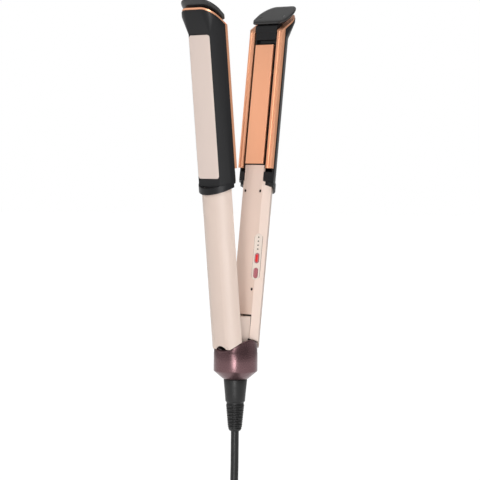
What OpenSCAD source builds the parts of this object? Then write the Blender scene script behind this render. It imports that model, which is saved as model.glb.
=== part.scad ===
// Hair straightener with two arms that swing on one pin in a collar.
// The origin is the middle of the collar's round wall, +Z runs up the tool,
// and the arms open along X. Arm shapes are drawn closed, then swung open.

/* [Opening] */
// Angle of each open arm from the middle plane, in degrees
open_angle = 6.4; // [4:0.1:8]
// Gap that stays between an arm's jaw parts and the middle plane when closed
jaw_gap = 0.1; // [0.1:0.1:0.5]

/* [Collar] */
// Outer radius of the collar
collar_r = 17.7; // [17.2:0.1:20]
// Wall of the collar
collar_wall = 2.3; // [1.8:0.1:2.6]
// Height of the collar's full round wall
round_wall = 15; // [14:0.5:18]
// Height that the collar's wavy edge rises above its low points
wave_rise = 10.4; // [8:0.2:11]
// Height of the cone under the collar
cone_h = 6.5; // [6:0.5:7]
// Radius of the cone's lower end
cone_r = 10.2; // [9.8:0.1:11]

/* [Hinge] */
// Height of the hinge pin over the collar's lower edge
pin_rise = 0.5; // [0:0.1:1]
// Radius of the hinge pin
pin_r = 1.6; // [1.2:0.1:2]
// Radius of the knuckles and lugs
knuckle_r = 3.2; // [2.8:0.1:3.3]
// Width of one arm's knuckle
knuckle_w = 4.75; // [4:0.05:4.9]
// Width of the wedge between the arms at its lower edge
wedge_low_w = 10.4; // [8:0.2:11]
// Width of the wedge at its top
wedge_top_w = 12.6; // [10:0.2:13]
// Height of the wedge
wedge_h = 17.7; // [14:0.5:17.7]

/* [Handle] */
// Distance of a handle's flat inner face from the middle plane, closed
inner_face = 1.5; // [1:0.1:2]
// Half width of the flat inner face
inner_half = 10.8; // [10.5:0.1:11.5]
// Depth of the chamfer along the inner face's edges
chamfer = 4.95; // [4.5:0.05:5.2]
// Distance of a handle's outermost line from the middle plane, closed
outer_face = 17.25; // [16.8:0.05:17.6]
// Wall of the handle shells and covers
shell_wall = 1.8; // [1.4:0.1:2.2]
// Height of the inner cover's lower edge
cover_z0 = 38.5; // [38:0.5:44]
// Height of the inner cover's top
cover_top = 159.5; // [157:0.5:159.5]
// Gap between the collar's wavy edge and the open shells
shell_gap = 1.1; // [0.8:0.1:1.5]
// Height of the lower cover screws
screw_low_z = 59; // [50:1:62]
// Height of the upper cover screws
screw_high_z = 138.5; // [115:0.5:139]
// Distance between the two screws of a pair
screw_pitch = 16.6; // [14:0.2:17]
// Radius of a cover screw
screw_r = 1.2; // [1:0.1:1.4]

/* [Controls] */
// Width of the control panel
panel_w = 6.6; // [6:0.1:6.8]
// Height of the panel's lower end
panel_z0 = 66.6; // [64:0.2:68]
// Height of the panel's upper end
panel_z1 = 104; // [102:0.5:112]
// Width of a button
button_w = 3.6; // [3:0.1:4]
// Length of a button
button_len = 8.2; // [7:0.2:9]
// Height of the heat button's centre
heat_z = 72.2; // [71.5:0.2:73]
// Height of the power button's centre
power_z = 84.2; // [83:0.2:86]
// Travel of a button
button_travel = 0.5; // [0.3:0.1:0.6]
// Number of indicator lights
light_count = 4; // [3:1:5]
// Height of the lowest light
light_z = 91.5; // [90.5:0.5:93]
// Step from light to light
light_step = 3.2; // [2.4:0.1:3.2]

/* [Jaw] */
// Half width of the heating plate
plate_half = 10; // [9:0.1:10.2]
// Height of the plate's lower end
plate_z0 = 160.5; // [160:0.5:165]
// Height of the plate's upper end
plate_z1 = 257.5; // [240:0.5:257.5]
// Thickness of the heating plate
plate_t = 1.6; // [1.2:0.1:1.8]
// Travel of the floating plate
plate_travel = 0.6; // [0.3:0.1:0.7]
// Inner edge of a side bar
bar_y0 = 12.4; // [12:0.1:12.6]
// Outer edge of a side bar
bar_y1 = 18.5; // [18:0.1:18.6]
// Height of the bars' lower ends
bar_z0 = 157; // [156:0.5:159]
// Wall of the jaw housing
shroud_wall = 1.6; // [1.2:0.1:1.8]
// Height of the back panel's lower end
back_z0 = 149.8; // [149:0.2:153]
// Height of the back panel's upper end
back_z1 = 263.5; // [250:0.5:263.5]
// Rise of the back panel's crown
back_crown = 1.1; // [0.8:0.1:1.4]
// Height of the band round the handle's top
band_h = 4.8; // [4:0.1:6]
// How far the band stands off the handle
band_t = 2.3; // [1.8:0.1:2.6]

/* [Tip] */
// Height of the cap's inner top edge
tip_z = 276; // [274:0.5:280]
// Slope of the cap's top, in degrees
tip_slope = 39; // [34:0.2:40]
// Thickness of the cap
cap_t = 3.2; // [2.8:0.1:4]
// Thickness of the copper band under the cap
tip_band_t = 1.4; // [1:0.1:1.8]
// Reach of the cap outward from the middle plane
tip_reach = 20.5; // [19.5:0.5:23]

/* [Cord] */
// Diameter of the cord
cord_d = 6.5; // [6:0.1:6.5]
// Length of the strain relief
relief_len = 42; // [40:1:42]
// Number of ribs on the strain relief
rib_count = 13; // [8:1:16]
// Diameter of a plug pin
plug_pin_d = 4.8; // [4:0.1:5]
// Distance between the plug pins
plug_pitch = 19; // [17:0.5:20]
// Length of a plug pin
plug_pin_len = 19; // [15:0.5:22]

/* [Hidden] */
$fn = 64;
eps = 0.01;

// Colours of the pieces
PINK = [0.91, 0.83, 0.78];
PALE = [0.95, 0.89, 0.85];
PLUM = [0.42, 0.34, 0.36];
BLACK = [0.10, 0.10, 0.11];
COPPER = [0.85, 0.58, 0.43];
STEEL = [0.70, 0.70, 0.72];
WHITE = [0.93, 0.92, 0.90];
GREEN = [0.15, 0.40, 0.25];
RED = [0.80, 0.25, 0.28];
ROSE = [0.62, 0.38, 0.42];

// Heights along the collar
wall_z0 = -round_wall / 2;
cone_z0 = wall_z0 - cone_h;
wave_low = round_wall / 2 + 0.5;
wave_high = wave_low + wave_rise;
pin_z = wall_z0 + pin_rise;
wave_inset = 0.2;

// Clearances
run_gap = 0.05;
slide_gap = 0.15;
free_gap = 0.3;

// Inside of the collar: a ledge carries the hinge base
bore_r = collar_r - collar_wall;
ledge_w = 0.8;
ledge_z = wall_z0 + 3.5;
floor_t = 2.2;
floor_z = cone_z0 + floor_t;
outlet_r = 6;
base_t = 2.2;
base_z1 = ledge_z + base_t;
window_x = 8;
window_y = 6.6;

// Hinge stack along the pin: knuckles, springs, lugs
knuckle_y0 = 0.15;
knuckle_y1 = knuckle_y0 + knuckle_w;
spring_y0 = knuckle_y1 + free_gap;
spring_w = 2.8;
lug_y0 = spring_y0 + spring_w + free_gap;
lug_w = 2;
lug_y1 = lug_y0 + lug_w;
leg_half_x = 3;
leg_y0 = 7.2;
leg_y1 = 10.2;
wedge_z1 = cover_z0 - 1.8;
wedge_z0 = wedge_z1 - wedge_h;
wedge_half_y = inner_half - free_gap;

// Handle section: a circle cut by the inner face and its chamfers
chamfer_x = inner_face + chamfer;
chamfer_y = inner_half + chamfer;
handle_cx = (chamfer_x^2 + chamfer_y^2 - outer_face^2) / (2 * (chamfer_x - outer_face));
handle_r = outer_face - handle_cx;
corner_turn = 22.5;
corner_drop = panel_w / 2 * tan(corner_turn);

// Spine of an arm and the screw posts on it
spine_t = 2.2;
spine_x0 = 8.3;
spine_x1 = spine_x0 + spine_t;
spine_half = 5;
spine_z1 = 200;
post_r = 2.6;
tab_half_z = 4;
loom_r = 1.2;
loom_x = spine_x1 + loom_r + 0.1;
loom_y = 3;
loom_z0 = 24;
loom_z1 = 196;
head_t = 0.8;
thread_len = 7;

// Slanted band at the jaw's root
band_slope = 20.6;
band_z = 144.5;
web_s0 = 2.6;
web_s1 = 4.2;
root_z1 = 154;

// Jaw section, from the bars' seat to the back
seat_x = 4.2;
side_y = 19;
back_x = 15.2;
back_half = 11.65;
panel_inset = 0.25;
jaw_z1 = 264;

// Parts in the jaw, measured out from the middle plane
plate_x0 = jaw_gap;
plate_x1 = plate_x0 + plate_t;
heater_t = 2;
heater_half = 8;
heater_end = 6;
heater_x1 = plate_x1 + heater_t;
carrier_t = 1.5;
carrier_end_t = 2.5;
carrier_x1 = spine_x0;
carrier_x0 = carrier_x1 - 1.6;
rail_y0 = plate_half + 0.3;
rail_y1 = bar_y0 - 0.2;
slot_x = 2;
bar_x0 = jaw_gap + 0.4;
bar_corner_r = 5;
spring_gap = plate_travel + 0.2;
plate_spring_r = 2.5;
plate_spring_y = 4;
plate_spring_zs = [182, 236];
fuse_r = 0.95;
fuse_len = 12;
fuse_z = 203;

// Tip, measured square to the slanted top
cap_gap = 2.2;
cap_s = -cap_t;
ring_s1 = cap_s - cap_gap;
ring_s0 = ring_s1 - tip_band_t;
flare_s1 = ring_s0 - 0.1;
flare_t = 2;
tip_corner = 11;
tip_inner_half = 15.15;
tip_inner_x = 0.4;
tip_shoulder_x = 4.5;
stem_z0 = 261.5;
stem_half = 12;
stem_x1 = 7;

// Controls, measured out from a flat across the corner of face and chamfer
pocket_d = 1;
panel_proud = 0.35;
button_proud = 0.75;
button_in = 2.4;
flange_t = 0.5;
flange_extra = 0.8;
button_root = button_in + flange_t;
switch_in = button_root + button_travel + 0.1;
board_in = 5.5;
board_t = 1;
board_y0 = -3.6;
board_y1 = 2.2;
board_post_r = 0.9;
board_post_in = 1.15;
light_r = 0.55;

// Strain relief profile
relief_r0 = 9.5;
relief_r1 = 7.8;
relief_z0 = cone_z0 - relief_len;
relief_step_z = cone_z0 - 18.5;
rib_z1 = cone_z0 - 21;
rib_z0 = relief_z0 + 2.5;
rib_r1 = 7.4;
rib_r0 = 5.8;
rib_deep = 0.8;
rib_pitch = (rib_z1 - rib_z0) / rib_count;
flange_r = 8.2;
relief_end_r = 4.3;

// Hank of cord that hangs under the tool
hank_turns = 6;
hank_in_r = 19.5;
hank_step = 8.4;
hank_run = 105;
hank_draw = 13.4;
hank_top = -182;
hank_layer = 7.4;
hank_rings = 24;
run_rings = 5;
hank_out_r = hank_in_r + hank_step * hank_turns / 2;
hank_end_r = hank_out_r + hank_step * run_rings / hank_rings;
hank_low = hank_top - hank_run;
plug_x = hank_end_r;
plug_y = hank_layer / 2;
plug_z = -325;
plug_neck = 12;
plug_body_h = 24;
plug_half_w = 16;
plug_half_t = 7.5;
tie_h = 12;
tie_t = 1.2;
tie_gap = 0.1;
tie_z = hank_top - hank_run / 2;
tie_right = hank_end_r - drawn(floor(run_rings / 2) / run_rings);
tie_left = tie_right - hank_step / 2;

// Points that the free cord follows, chosen by hand
TAIL = [
  [0, 0, -56], [0, 0, -70], [0, 0, -84], [0, 0, -100], [2, -0.5, -114],
  [8, -1.5, -127], [22, -2, -141], [35.5, -3, -154], [42.5, -3.5, -167],
  [44.7, -3.7, -175], [44.7, -3.7, -182]
];

// Placing of the arms: drawn closed, swung open about the pin
module right_arm() {
  translate([0, 0, pin_z]) rotate([0, open_angle, 0]) translate([0, 0, -pin_z]) children();
}

module left_arm() {
  mirror([1, 0, 0]) right_arm() children();
}

// Sections in the plane across an arm, x outward and y along the pin
module handle_outline(inset, z0, z1) {
  far = outer_face + 5;
  edge_x = inner_face + inset;
  edge_y = inner_half - inset * (sqrt(2) - 1);
  reach = far - edge_x;
  translate([0, 0, z0]) linear_extrude(z1 - z0) intersection() {
    translate([handle_cx, 0]) circle(r = handle_r - inset, $fn = 96);
    polygon([[edge_x, -edge_y], [far, -edge_y - reach], [far, edge_y + reach], [edge_x, edge_y]]);
  }
}

module jaw_section(inset) {
  y1 = side_y - inset;
  polygon([
    [seat_x, -y1 + 0.3], [seat_x + 0.7, -y1], [8.5 - inset / 2, -y1 + 1.5],
    [back_x - inset, -back_half + inset / 2], [back_x - inset, back_half - inset / 2],
    [8.5 - inset / 2, y1 - 1.5], [seat_x + 0.7, y1], [seat_x, y1 - 0.3]
  ]);
}

// Slab between two distances from the band's slanted lower face
module band_slab(s0, s1) {
  translate([0, 0, band_z]) rotate([0, band_slope, 0])
    translate([-20, -40, s0]) cube([80, 80, s1 - s0]);
}

// Everything under the collar's wavy edge raised by a gap
module under_wave(raise, low) {
  steps = 24;
  half = collar_r + 8;
  top = [for (i = [0:steps]) let (x = half - 2 * half * i / steps)
    [x, wave_high + raise - wave_rise * (x / collar_r)^2]];
  rotate([90, 0, 0]) linear_extrude(4 * collar_r, center = true)
    polygon(concat([[-half, low], [half, low]], top));
}

// Pill shape square to the x axis, between two heights
module pill(w, z0, z1, x0, x1) {
  translate([x0, 0, 0]) rotate([0, 90, 0]) linear_extrude(x1 - x0) {
    translate([-z0 - w / 2, 0]) circle(d = w);
    translate([-z1 + w / 2, 0]) circle(d = w);
    translate([-z1 + w / 2, -w / 2]) square([z1 - z0 - w, w]);
  }
}

module on_corner() {
  translate([inner_face, -inner_half, 0]) rotate([0, 0, 180 + corner_turn])
    translate([-corner_drop, 0, 0]) children();
}

module screw_places() {
  for (z = [screw_low_z, screw_high_z], side = [-1, 1])
    translate([0, side * screw_pitch / 2, z]) rotate([0, 90, 0]) children();
}

// Base parts
module collar() {
  color(PLUM) difference() {
    union() {
      translate([0, 0, cone_z0]) cylinder(r1 = cone_r, r2 = collar_r, h = cone_h, $fn = 96);
      translate([0, 0, wall_z0]) cylinder(r = collar_r, h = round_wall, $fn = 96);
      intersection() {
        translate([0, 0, -wall_z0 - 1]) cylinder(r = collar_r - wave_inset, h = wave_high + wall_z0 + 1, $fn = 96);
        under_wave(0, wall_z0 - 5);
      }
    }
    translate([0, 0, ledge_z]) cylinder(r = bore_r, h = wave_high - ledge_z + 1, $fn = 96);
    translate([0, 0, wall_z0 + 1]) cylinder(r = bore_r - ledge_w, h = wave_high);
    translate([0, 0, floor_z])
      cylinder(r1 = bore_r - ledge_w - 5.4, r2 = bore_r - ledge_w, h = wall_z0 + 1 - floor_z + eps);
    translate([0, 0, cone_z0 - 1]) cylinder(r = outlet_r, h = floor_t + 2);
  }
}

module lug(side) {
  translate([0, side * (lug_y0 + lug_w / 2), 0]) {
    translate([0, 0, pin_z]) rotate([90, 0, 0]) cylinder(r = knuckle_r, h = lug_w, center = true);
    translate([-knuckle_r, -lug_w / 2, pin_z]) cube([2 * knuckle_r, lug_w, base_z1 - pin_z]);
  }
}

module hinge_base() {
  color(BLACK) difference() {
    union() {
      difference() {
        translate([0, 0, ledge_z]) cylinder(r = bore_r - 0.1, h = base_t, $fn = 96);
        translate([-window_x, -window_y, ledge_z - 1])
          cube([2 * window_x, 2 * window_y, base_t + 2]);
      }
      lug(1);
      lug(-1);
    }
    translate([0, 0, pin_z]) rotate([90, 0, 0])
      cylinder(r = pin_r + run_gap, h = 3 * collar_r, center = true);
  }
}

module hinge_wedge() {
  color(PINK) {
    rotate([90, 0, 0]) linear_extrude(2 * wedge_half_y, center = true) polygon([
      [-wedge_low_w / 2 + 1, wedge_z0], [wedge_low_w / 2 - 1, wedge_z0],
      [wedge_low_w / 2, wedge_z0 + 1.5], [wedge_top_w / 2, wedge_z1],
      [-wedge_top_w / 2, wedge_z1], [-wedge_low_w / 2, wedge_z0 + 1.5]
    ]);
    for (side = [-1, 1])
      translate([-leg_half_x, side > 0 ? leg_y0 : -leg_y1, base_z1])
        cube([2 * leg_half_x, leg_y1 - leg_y0, wedge_z0 - base_z1 + eps]);
  }
}

module hinge_pin() {
  color(STEEL) translate([0, 0, pin_z]) rotate([90, 0, 0])
    cylinder(r = pin_r, h = 2 * lug_y1 + 0.6, center = true);
}

module hinge_springs() {
  color(STEEL) for (side = [-1, 1])
    translate([0, side * (spring_y0 + spring_w / 2), pin_z]) rotate([90, 0, 0])
      difference() {
        cylinder(r = knuckle_r - 0.4, h = spring_w, center = true);
        cylinder(r = pin_r + 0.2, h = spring_w + 2, center = true);
      }
}

// Ribbed sleeve where the cord leaves the collar
module strain_relief() {
  ribs = [for (i = [0:rib_count - 1]) each
    let (z = rib_z1 - i * rib_pitch, r = rib_r1 + (rib_r0 - rib_r1) * i / (rib_count - 1))
    [[r, z], [r, z - rib_pitch * 0.6], [r - rib_deep, z - rib_pitch * 0.7], [r - rib_deep, z - rib_pitch * 0.95]]];
  color(BLACK) {
    rotate_extrude($fn = 48) polygon(concat(
      [[0, cone_z0], [relief_r0, cone_z0], [relief_r1, relief_step_z],
       [rib_r1 - rib_deep, relief_step_z - 0.8], [rib_r1 - rib_deep, rib_z1 + 0.3]],
      ribs,
      [[rib_r0 - 0.4, rib_z0 - 0.2], [relief_end_r, relief_z0], [0, relief_z0]]
    ));
    translate([0, 0, cone_z0 - eps]) cylinder(r = outlet_r - 0.1, h = floor_t + 0.2);
    translate([0, 0, floor_z]) cylinder(r = flange_r, h = 1.3);
  }
}

// Tube swept along points; each ring stands square to the route
function unit(v) = v / norm(v);
function way(pts, i) = unit(pts[min(i + 1, len(pts) - 1)] - pts[max(i - 1, 0)]);
function ring(p, t, r, sides) =
  let (u = unit(cross(t, [0, 1, 0])), v = cross(t, u))
  [for (k = [0:sides - 1]) p + r * (cos(360 * k / sides) * u + sin(360 * k / sides) * v)];

module tube(pts, r, sides) {
  n = len(pts);
  points = [for (i = [0:n - 1]) each ring(pts[i], way(pts, i), r, sides)];
  walls = [for (i = [0:n - 2], k = [0:sides - 1]) each
    let (a = i * sides + k, b = i * sides + (k + 1) % sides)
    [[a, b, a + sides], [b, b + sides, a + sides]]];
  start = [for (k = [1:sides - 2]) [0, k + 1, k]];
  last = (n - 1) * sides;
  stop = [for (k = [1:sides - 2]) [last, last + k, last + k + 1]];
  polyhedron(points, concat(walls, start, stop));
}

// Loops of the hank: down the right run, round, up the left run, round
function smooth(x) = let (c = max(0, min(1, x))) c * c * (3 - 2 * c);
function hank_r(t) = hank_in_r + hank_step * abs(t - hank_turns / 2);
function hank_y(t) =
  hank_layer * (smooth((t - hank_turns / 2) * hank_rings / run_rings) - 0.5);
function drawn(s) = hank_draw * (1 - cos(360 * s)) / 2;
function hank_point(t) =
  let (f = t - floor(t), r = hank_r(t), y = hank_y(t), q = run_rings / hank_rings,
       half = f >= 0.5, g = half ? f - 0.5 : f, sgn = half ? -1 : 1,
       low = half ? hank_top : hank_low, s = g / q, a = 180 * (g - q) / (0.5 - q))
  g < q
    ? [sgn * (r - drawn(s)), y, half ? hank_low + hank_run * s : hank_top - hank_run * s]
    : [sgn * r * cos(a), y, low - sgn * r * sin(a)];

loops = [for (i = [0:hank_turns * hank_rings + run_rings]) hank_point(i / hank_rings)];
HANK = concat([loops[0], loops[0] - [0, 0, cord_d]], [for (i = [1:len(loops) - 1]) loops[i]],
  [[plug_x, plug_y, hank_low - 12], [plug_x, plug_y, hank_low - 24], [plug_x, plug_y, plug_z + cord_d],
   [plug_x, plug_y, plug_z]]);
hank_gap = min([for (i = [0:3:len(HANK) - 8], j = [i + 7:len(HANK) - 2])
  segment_distance(HANK[i], HANK[j], HANK[j + 1])]) - cord_d;

function segment_distance(p, a, b) =
  let (ab = b - a, s = max(0, min(1, ((p - a) * ab) / (ab * ab)))) norm(p - a - s * ab);

module cord_tail() {
  color(BLACK) tube(TAIL, cord_d / 2, 8);
}

module cord_hank() {
  echo(least_hank_gap = hank_gap);
  color(BLACK) tube(HANK, cord_d / 2, 6);
}

module tie_ring(extra, h) {
  r = cord_d / 2 + extra;
  y = hank_layer / 2;
  linear_extrude(h, center = true) {
    for (x = [-tie_left, tie_right], side = [-1, 1]) translate([x, side * y]) circle(r = r);
    translate([-tie_left, -y - r]) square([tie_left + tie_right, 2 * (y + r)]);
    translate([-tie_left - r, -y]) square([tie_left + tie_right + 2 * r, 2 * y]);
  }
}

module cord_tie() {
  color(BLACK) translate([0, 0, tie_z]) difference() {
    tie_ring(tie_gap + tie_t, tie_h);
    tie_ring(tie_gap, tie_h + 2);
  }
}

module plug_body() {
  color(BLACK) translate([plug_x, plug_y, plug_z]) {
    translate([0, 0, -plug_neck]) cylinder(r1 = 6, r2 = 4.6, h = plug_neck);
    translate([0, 0, -plug_neck - plug_body_h]) linear_extrude(plug_body_h + eps) {
      square([2 * (plug_half_w - plug_half_t), 2 * plug_half_t], center = true);
      for (side = [-1, 1])
        translate([side * (plug_half_w - plug_half_t), 0]) circle(r = plug_half_t);
    }
  }
}

module plug_pins() {
  color(STEEL) for (side = [-1, 1])
    translate([plug_x + side * plug_pitch / 2, plug_y,
        plug_z - plug_neck - plug_body_h - plug_pin_len])
      cylinder(d = plug_pin_d, h = plug_pin_len, $fn = 48);
}

// Arm parts, all drawn in the closed position on the +X side
module arm_frame(side) {
  y0 = side > 0 ? knuckle_y0 : -knuckle_y1;
  color(STEEL) difference() {
    union() {
      translate([0, y0, pin_z]) rotate([-90, 0, 0]) cylinder(r = knuckle_r, h = knuckle_w);
      translate([0, y0 + knuckle_w, 0]) rotate([90, 0, 0]) linear_extrude(knuckle_w)
        polygon([[0, pin_z], [knuckle_r, pin_z], [4.6, base_z1], [2.4, base_z1], [0, pin_z + 2]]);
      translate([0, spine_half, 0]) rotate([90, 0, 0]) linear_extrude(2 * spine_half)
        polygon([[2.4, base_z1], [4.6, base_z1], [spine_x1, wave_high - 2],
          [spine_x1, spine_z1], [spine_x0, spine_z1], [spine_x0, wave_high]]);
      intersection() {
        screw_places() cylinder(r = post_r, h = spine_x1);
        handle_outline(shell_wall, 0, band_z);
      }
      for (z = [screw_low_z, screw_high_z]) {
        translate([spine_x0, -screw_pitch / 2, z - tab_half_z / 2])
          cube([spine_t, screw_pitch, tab_half_z]);
        translate([spine_x1 - eps, -1, z - 2 * tab_half_z])
          cube([handle_cx + handle_r - shell_wall - 0.15 - spine_x1, 2, 2 * tab_half_z + 1]);
      }
    }
    translate([0, 0, pin_z]) rotate([90, 0, 0])
      cylinder(r = pin_r + run_gap, h = 3 * collar_r, center = true);
    screw_places() translate([0, 0, inner_face]) cylinder(r = screw_r + 0.05, h = thread_len);
  }
}

module handle_body() {
  difference() {
    intersection() {
      difference() {
        handle_outline(0, 0, band_z + 10);
        handle_outline(shell_wall, -1, band_z + 12);
      }
      band_slab(-200, web_s0 - 0.1);
    }
    translate([0, 0, pin_z]) rotate([0, -open_angle, 0]) translate([0, 0, -pin_z])
      under_wave(shell_gap, -30);
  }
}

module handle_shell() {
  color(PINK) intersection() {
    handle_body();
    translate([chamfer_x, -50, -50]) cube([50, 100, 300]);
  }
}

// Flat neck of the inner cover that runs up between the jaw's lobes
module cover_neck() {
  translate([inner_face, -inner_half + 0.5, band_z - 6])
    cube([shell_wall, 2 * inner_half - 1, cover_top - band_z + 6]);
}

module handle_cover() {
  color(PINK) difference() {
    union() {
      intersection() {
        handle_body();
        translate([-50, -50, -50]) cube([50 + chamfer_x, 100, 300]);
      }
      cover_neck();
    }
    translate([-1, -inner_half, -50]) cube([20, 2 * inner_half, 50 + cover_z0]);
    screw_places() translate([0, 0, -1]) cylinder(r = screw_r + 0.1, h = 12);
  }
}

// Pocket for the control panel, with the holes that the buttons pass through
module control_cuts() {
  on_corner() {
    pill(panel_w + 0.1, panel_z0 - 0.05, panel_z1 + 0.05, -pocket_d, 5);
    button_hole(heat_z);
    button_hole(power_z);
  }
}

module right_handle_cover() {
  difference() {
    handle_cover();
    control_cuts();
  }
}

module cover_screws() {
  color(BLACK) screw_places() translate([0, 0, inner_face + 0.3])
    cylinder(r = screw_r, h = thread_len - 0.5);
}

module wire_loom() {
  color(BLACK) translate([loom_x, loom_y, loom_z0]) cylinder(r = loom_r, h = loom_z1 - loom_z0, $fn = 24);
}

// Root block of the jaw with its lobes, over the handle's slanted top
module jaw_root() {
  x0 = inner_face - 0.3;
  y0 = inner_half + 0.1;
  intersection() {
    translate([0, 0, band_z - 30]) linear_extrude(root_z1 - band_z + 30) polygon([
      [x0, -y0], [x0, -y0 - 5], [seat_x + 0.7, -side_y], [8.5, -side_y + 1.5],
      [back_x, -back_half], [back_x, back_half], [8.5, side_y - 1.5],
      [seat_x + 0.7, side_y], [x0, y0 + 5], [x0, y0],
      [inner_face + shell_wall + 0.1, y0], [inner_face + shell_wall + 0.1, -y0]
    ]);
    band_slab(web_s0, 60);
  }
}

module jaw_band() {
  intersection() {
    difference() {
      handle_outline(-band_t, band_z - 30, band_z + 30);
      handle_outline(-0.2, band_z - 31, band_z + 31);
    }
    band_slab(0, band_h);
    translate([inner_face + 1.2, -50, 0]) cube([50, 100, 300]);
  }
  intersection() {
    handle_outline(-0.3, band_z - 30, band_z + 30);
    band_slab(web_s0, web_s1);
    translate([seat_x, -50, 0]) cube([50, 100, 300]);
  }
}

// Plan of the tip, seen square to its slanted top
module tip_outline(inset) {
  x1 = tip_reach - tip_corner;
  x0 = tip_inner_x + inset;
  r = tip_corner - inset;
  intersection() {
    union() {
      polygon([
        [x0, -tip_inner_half + inset / 2], [tip_shoulder_x, -side_y + inset],
        [x1, -side_y + inset], [x1, side_y - inset], [tip_shoulder_x, side_y - inset],
        [x0, tip_inner_half - inset / 2]
      ]);
      for (side = [-1, 1]) translate([x1, side * (side_y - tip_corner)]) circle(r = r);
      translate([x1, -side_y + tip_corner]) square([r, 2 * (side_y - tip_corner)]);
    }
    translate([x0, -side_y]) square([tip_reach, 2 * side_y]);
  }
}

module tip_plane() {
  multmatrix([[1, 0, 0, 0], [0, 1, 0, 0], [tan(tip_slope), 0, 1 / cos(tip_slope), tip_z], [0, 0, 0, 1]])
    children();
}

module tip_slab(s0, s1, inset) {
  tip_plane() translate([0, 0, s0]) linear_extrude(s1 - s0) tip_outline(inset);
}

module jaw_shroud() {
  color(BLACK) {
    difference() {
      union() {
        translate([0, 0, root_z1 - eps]) linear_extrude(jaw_z1 - root_z1 + 2 * eps) difference() {
          jaw_section(0);
          jaw_section(shroud_wall);
          translate([0, -side_y + shroud_wall + 0.4]) square([seat_x + 1, 2 * (side_y - shroud_wall - 0.4)]);
        }
        jaw_root();
        jaw_band();
      }
      translate([spine_x0 - 0.05, -spine_half - 0.05, 0])
        cube([spine_t + 0.1, 2 * spine_half + 0.1, spine_z1]);
      translate([loom_x, loom_y, 0]) cylinder(r = loom_r + 0.2, h = 300, $fn = 24);
    }
    difference() {
      jaw_flare();
      translate([0, -stem_half - 0.1, stem_z0]) cube([stem_x1 + 0.1, 2 * stem_half + 0.2, 60]);
    }
  }
}

module jaw_flare() {
  hull() {
    translate([0, 0, jaw_z1]) linear_extrude(0.5) jaw_section(0);
    intersection() {
      tip_slab(flare_s1 - flare_t, flare_s1, 0);
      translate([seat_x, -50, 0]) cube([50, 100, 400]);
    }
  }
}

module back_panel() {
  crown_r = (back_half^2 + back_crown^2) / (2 * back_crown);
  color(PALE) translate([0, 0, back_z0]) linear_extrude(back_z1 - back_z0) intersection() {
    translate([back_x + back_crown - crown_r, 0]) circle(r = crown_r, $fn = 360);
    translate([back_x, -back_half + panel_inset]) square([5, 2 * (back_half - panel_inset)]);
  }
}

module plate_carrier() {
  inner_y = side_y - shroud_wall - 0.5;
  color(BLACK) {
    translate([0, 0, bar_z0]) linear_extrude(stem_z0 - bar_z0) {
      for (side = [-1, 1]) scale([1, side]) {
        translate([slot_x, rail_y0]) square([carrier_x1 - slot_x, rail_y1 - rail_y0]);
        translate([seat_x, rail_y0]) square([carrier_t, inner_y - 0.3 - rail_y0]);
      }
      translate([carrier_x0, -rail_y1]) square([carrier_x1 - carrier_x0, 2 * rail_y1]);
    }
    translate([seat_x, -rail_y1, stem_z0 - carrier_end_t])
      cube([carrier_x1 - seat_x, 2 * rail_y1, carrier_end_t]);
  }
}

// Copper bars beside the plate and the band that joins them round the tip
module side_bars() {
  mid = (bar_y0 + bar_y1) / 2;
  color(COPPER) {
    difference() {
      intersection() {
        translate([0, 0, bar_z0]) linear_extrude(tip_z - bar_z0 + 10) for (side = [-1, 1]) scale([1, side])
          polygon([
            [seat_x, bar_y0], [bar_x0 + 0.5, bar_y0], [bar_x0, bar_y0 + 0.5], [bar_x0, mid - 0.5],
            [bar_x0 + 0.4, mid], [bar_x0, mid + 0.5], [bar_x0, bar_y1 - 1], [bar_x0 + 1, bar_y1],
            [seat_x - eps, bar_y1]
          ]);
        tip_plane() translate([-50, -50, -400]) cube([100, 100, 400 + ring_s1]);
      }
      bar_corner();
    }
    difference() {
      tip_slab(ring_s0, ring_s1, side_y - bar_y1);
      translate([-1, -stem_half - 0.2, 0]) cube([stem_x1 + 1.2, 2 * stem_half + 0.4, 400]);
      bar_corner();
    }
  }
}

// What is cut from the bars' upper corners, where they turn outward
module bar_corner() {
  mid_x = bar_x0 + bar_corner_r;
  mid_z = tip_z + ring_s1 / cos(tip_slope) + mid_x * tan(tip_slope) - bar_corner_r / cos(tip_slope);
  rotate([90, 0, 0]) linear_extrude(4 * side_y, center = true) difference() {
    translate([-5, mid_z]) square([5 + mid_x - bar_corner_r * sin(tip_slope), 30]);
    translate([mid_x, mid_z]) circle(r = bar_corner_r);
  }
}

module tip_cap() {
  color(BLACK) {
    hull() {
      tip_slab(-1.5, 0, 0.2);
      tip_slab(cap_s, cap_s + 0.2, 2.4);
    }
    intersection() {
      translate([bar_x0, -stem_half, stem_z0]) cube([stem_x1 - bar_x0, 2 * stem_half, 60]);
      tip_plane() translate([-50, -50, -400]) cube([100, 100, 400 + cap_s + 0.5]);
    }
  }
}

module plate_springs() {
  color(STEEL) for (z = plate_spring_zs, side = [-1, 1])
    translate([heater_x1 + spring_gap, side * plate_spring_y, z]) rotate([0, 90, 0])
      cylinder(r = plate_spring_r, h = carrier_x0 - heater_x1 - spring_gap, $fn = 32);
}

module centre_plate() {
  color(COPPER) translate([0, 0, plate_z0]) linear_extrude(plate_z1 - plate_z0) polygon([
    [plate_x1, -plate_half], [plate_x0 + 0.4, -plate_half], [plate_x0, -plate_half + 0.4],
    [plate_x0, plate_half - 0.4], [plate_x0 + 0.4, plate_half], [plate_x1, plate_half]
  ]);
}

module heater() {
  color(WHITE) translate([plate_x1, -heater_half, plate_z0 + heater_end])
    cube([heater_t, 2 * heater_half, plate_z1 - plate_z0 - 2 * heater_end]);
}

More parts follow.
